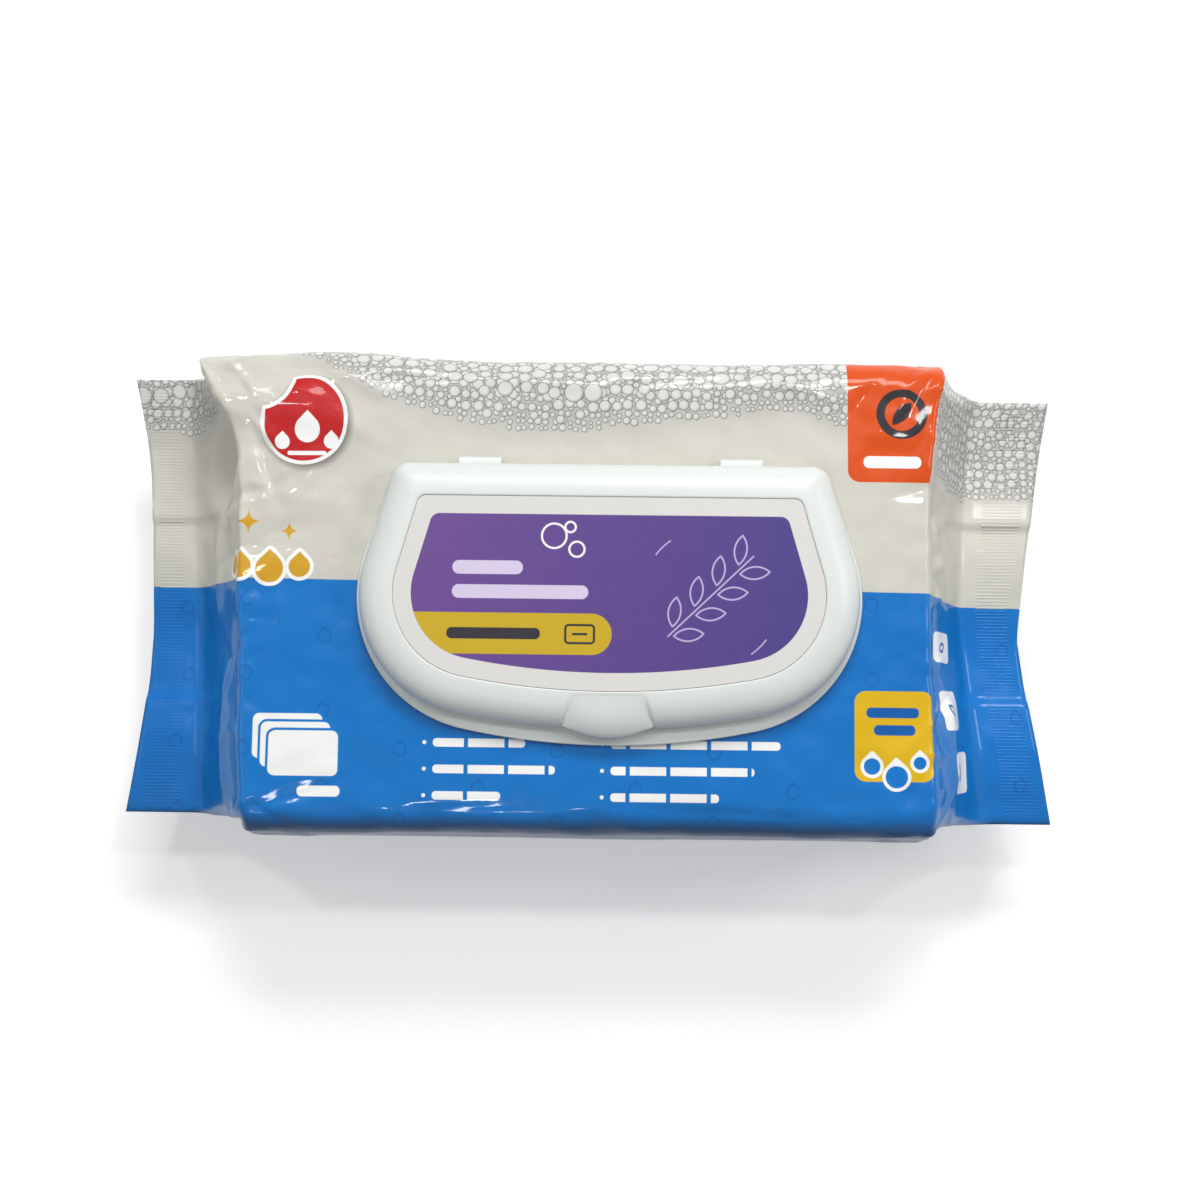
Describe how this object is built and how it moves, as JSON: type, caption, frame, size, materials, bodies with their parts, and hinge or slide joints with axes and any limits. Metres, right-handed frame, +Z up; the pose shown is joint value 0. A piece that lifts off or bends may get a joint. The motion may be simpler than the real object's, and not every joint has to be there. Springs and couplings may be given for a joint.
{
  "type": "wet wipes pack",
  "caption": "Soft film pack of folded wet wipes with crimped ends and a moulded flip lid that opens on a hinge over a dispensing slot.",
  "frame": {"origin": "centre of the overall length and width, on the underside", "axes": "+X along the pack's length, +Y towards the lid's hinge, +Z up through the lid"},
  "size_m": [0.21, 0.1056, 0.0583],
  "materials": {
    "film": "glossy printed film, white above and blue below",
    "wipes": "damp white nonwoven",
    "lid_plastic": "white polypropylene, soft gloss",
    "label": "satin printed label"
  },
  "bodies": {
    "pack": {"wrapper": "film", "wipes_stack": "wipes", "top_wipe": "wipes", "lid_frame": "lid_plastic", "hinge_web_left": "lid_plastic", "hinge_web_right": "lid_plastic"},
    "lid": {"lid_cover": "lid_plastic", "lid_label": "label"}
  },
  "joints": [
    {"name": "lid_hinge", "type": "hinge", "parent": "pack", "child": "lid", "pos_m": [0.0047, 0.0279, 0.05165], "axis": [-1, 0, 0], "range_deg": [0, 120], "deforming": ["hinge_web_left", "hinge_web_right"]}
  ]
}
